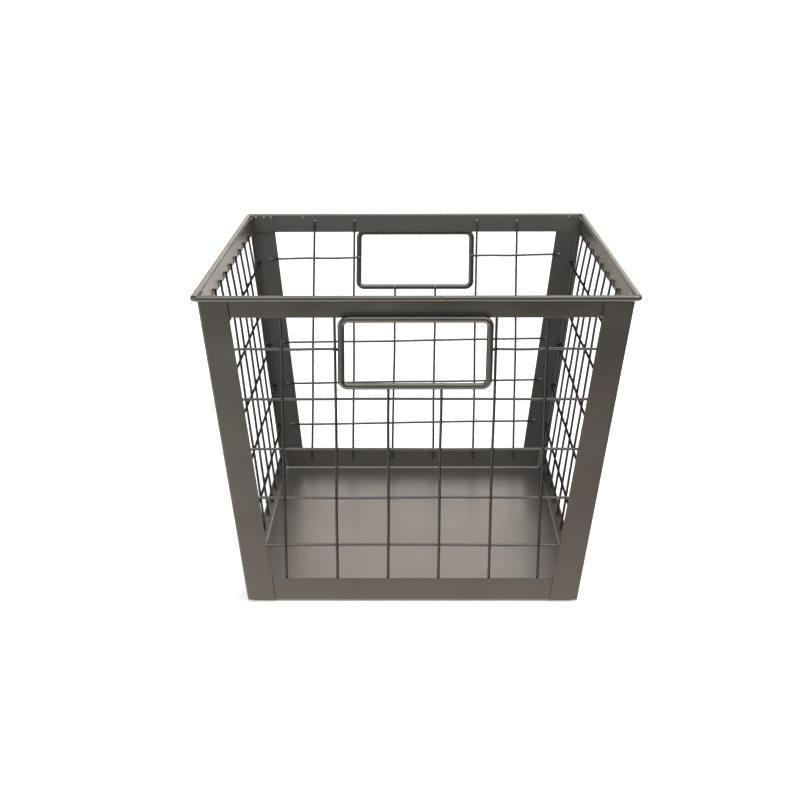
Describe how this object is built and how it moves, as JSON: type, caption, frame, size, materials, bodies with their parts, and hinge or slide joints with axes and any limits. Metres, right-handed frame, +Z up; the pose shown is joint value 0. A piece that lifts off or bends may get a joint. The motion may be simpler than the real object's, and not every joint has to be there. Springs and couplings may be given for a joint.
{
  "type": "wire mesh storage basket",
  "caption": "Open-topped tapered storage basket: angle-post frame, folded floor pan, round rim rod, square welded wire mesh walls and a rod loop handle in each end wall.",
  "frame": {"origin": "middle of the underside of the floor pan, on the surface the basket stands on", "axes": "+Z up; the two end walls with the handles face -Y (front) and +Y (back); +X is the right-hand side seen from the front"},
  "size_m": [0.3336, 0.4466, 0.251],
  "materials": {
    "painted_sheet_steel": "satin metallic pewter paint on folded sheet steel",
    "painted_steel_rod": "satin metallic pewter paint on round steel rod",
    "painted_steel_wire": "satin metallic pewter paint on drawn steel wire"
  },
  "bodies": {
    "root": {"floor_pan": "painted_sheet_steel", "front_left_post": "painted_sheet_steel", "front_right_post": "painted_sheet_steel", "back_left_post": "painted_sheet_steel", "back_right_post": "painted_sheet_steel", "front_top_band": "painted_sheet_steel", "back_top_band": "painted_sheet_steel", "left_top_band": "painted_sheet_steel", "right_top_band": "painted_sheet_steel", "rim_rod": "painted_steel_rod", "front_handle": "painted_steel_rod", "back_handle": "painted_steel_rod", "left_mesh": "painted_steel_wire", "right_mesh": "painted_steel_wire", "front_upright_wire_1": "painted_steel_wire", "front_upright_wire_2": "painted_steel_wire", "front_upright_wire_3": "painted_steel_wire", "front_upright_wire_4": "painted_steel_wire", "front_upright_wire_5": "painted_steel_wire", "front_upright_wire_6": "painted_steel_wire", "front_cross_wire_1a": "painted_steel_wire", "front_cross_wire_1b": "painted_steel_wire", "front_cross_wire_2": "painted_steel_wire", "front_cross_wire_3": "painted_steel_wire", "front_cross_wire_4": "painted_steel_wire", "front_cross_wire_5": "painted_steel_wire", "back_upright_wire_1": "painted_steel_wire", "back_upright_wire_2": "painted_steel_wire", "back_upright_wire_3": "painted_steel_wire", "back_upright_wire_4": "painted_steel_wire", "back_upright_wire_5": "painted_steel_wire", "back_upright_wire_6": "painted_steel_wire", "back_cross_wire_1a": "painted_steel_wire", "back_cross_wire_1b": "painted_steel_wire", "back_cross_wire_2": "painted_steel_wire", "back_cross_wire_3": "painted_steel_wire", "back_cross_wire_4": "painted_steel_wire", "back_cross_wire_5": "painted_steel_wire"}
  },
  "joints": []
}
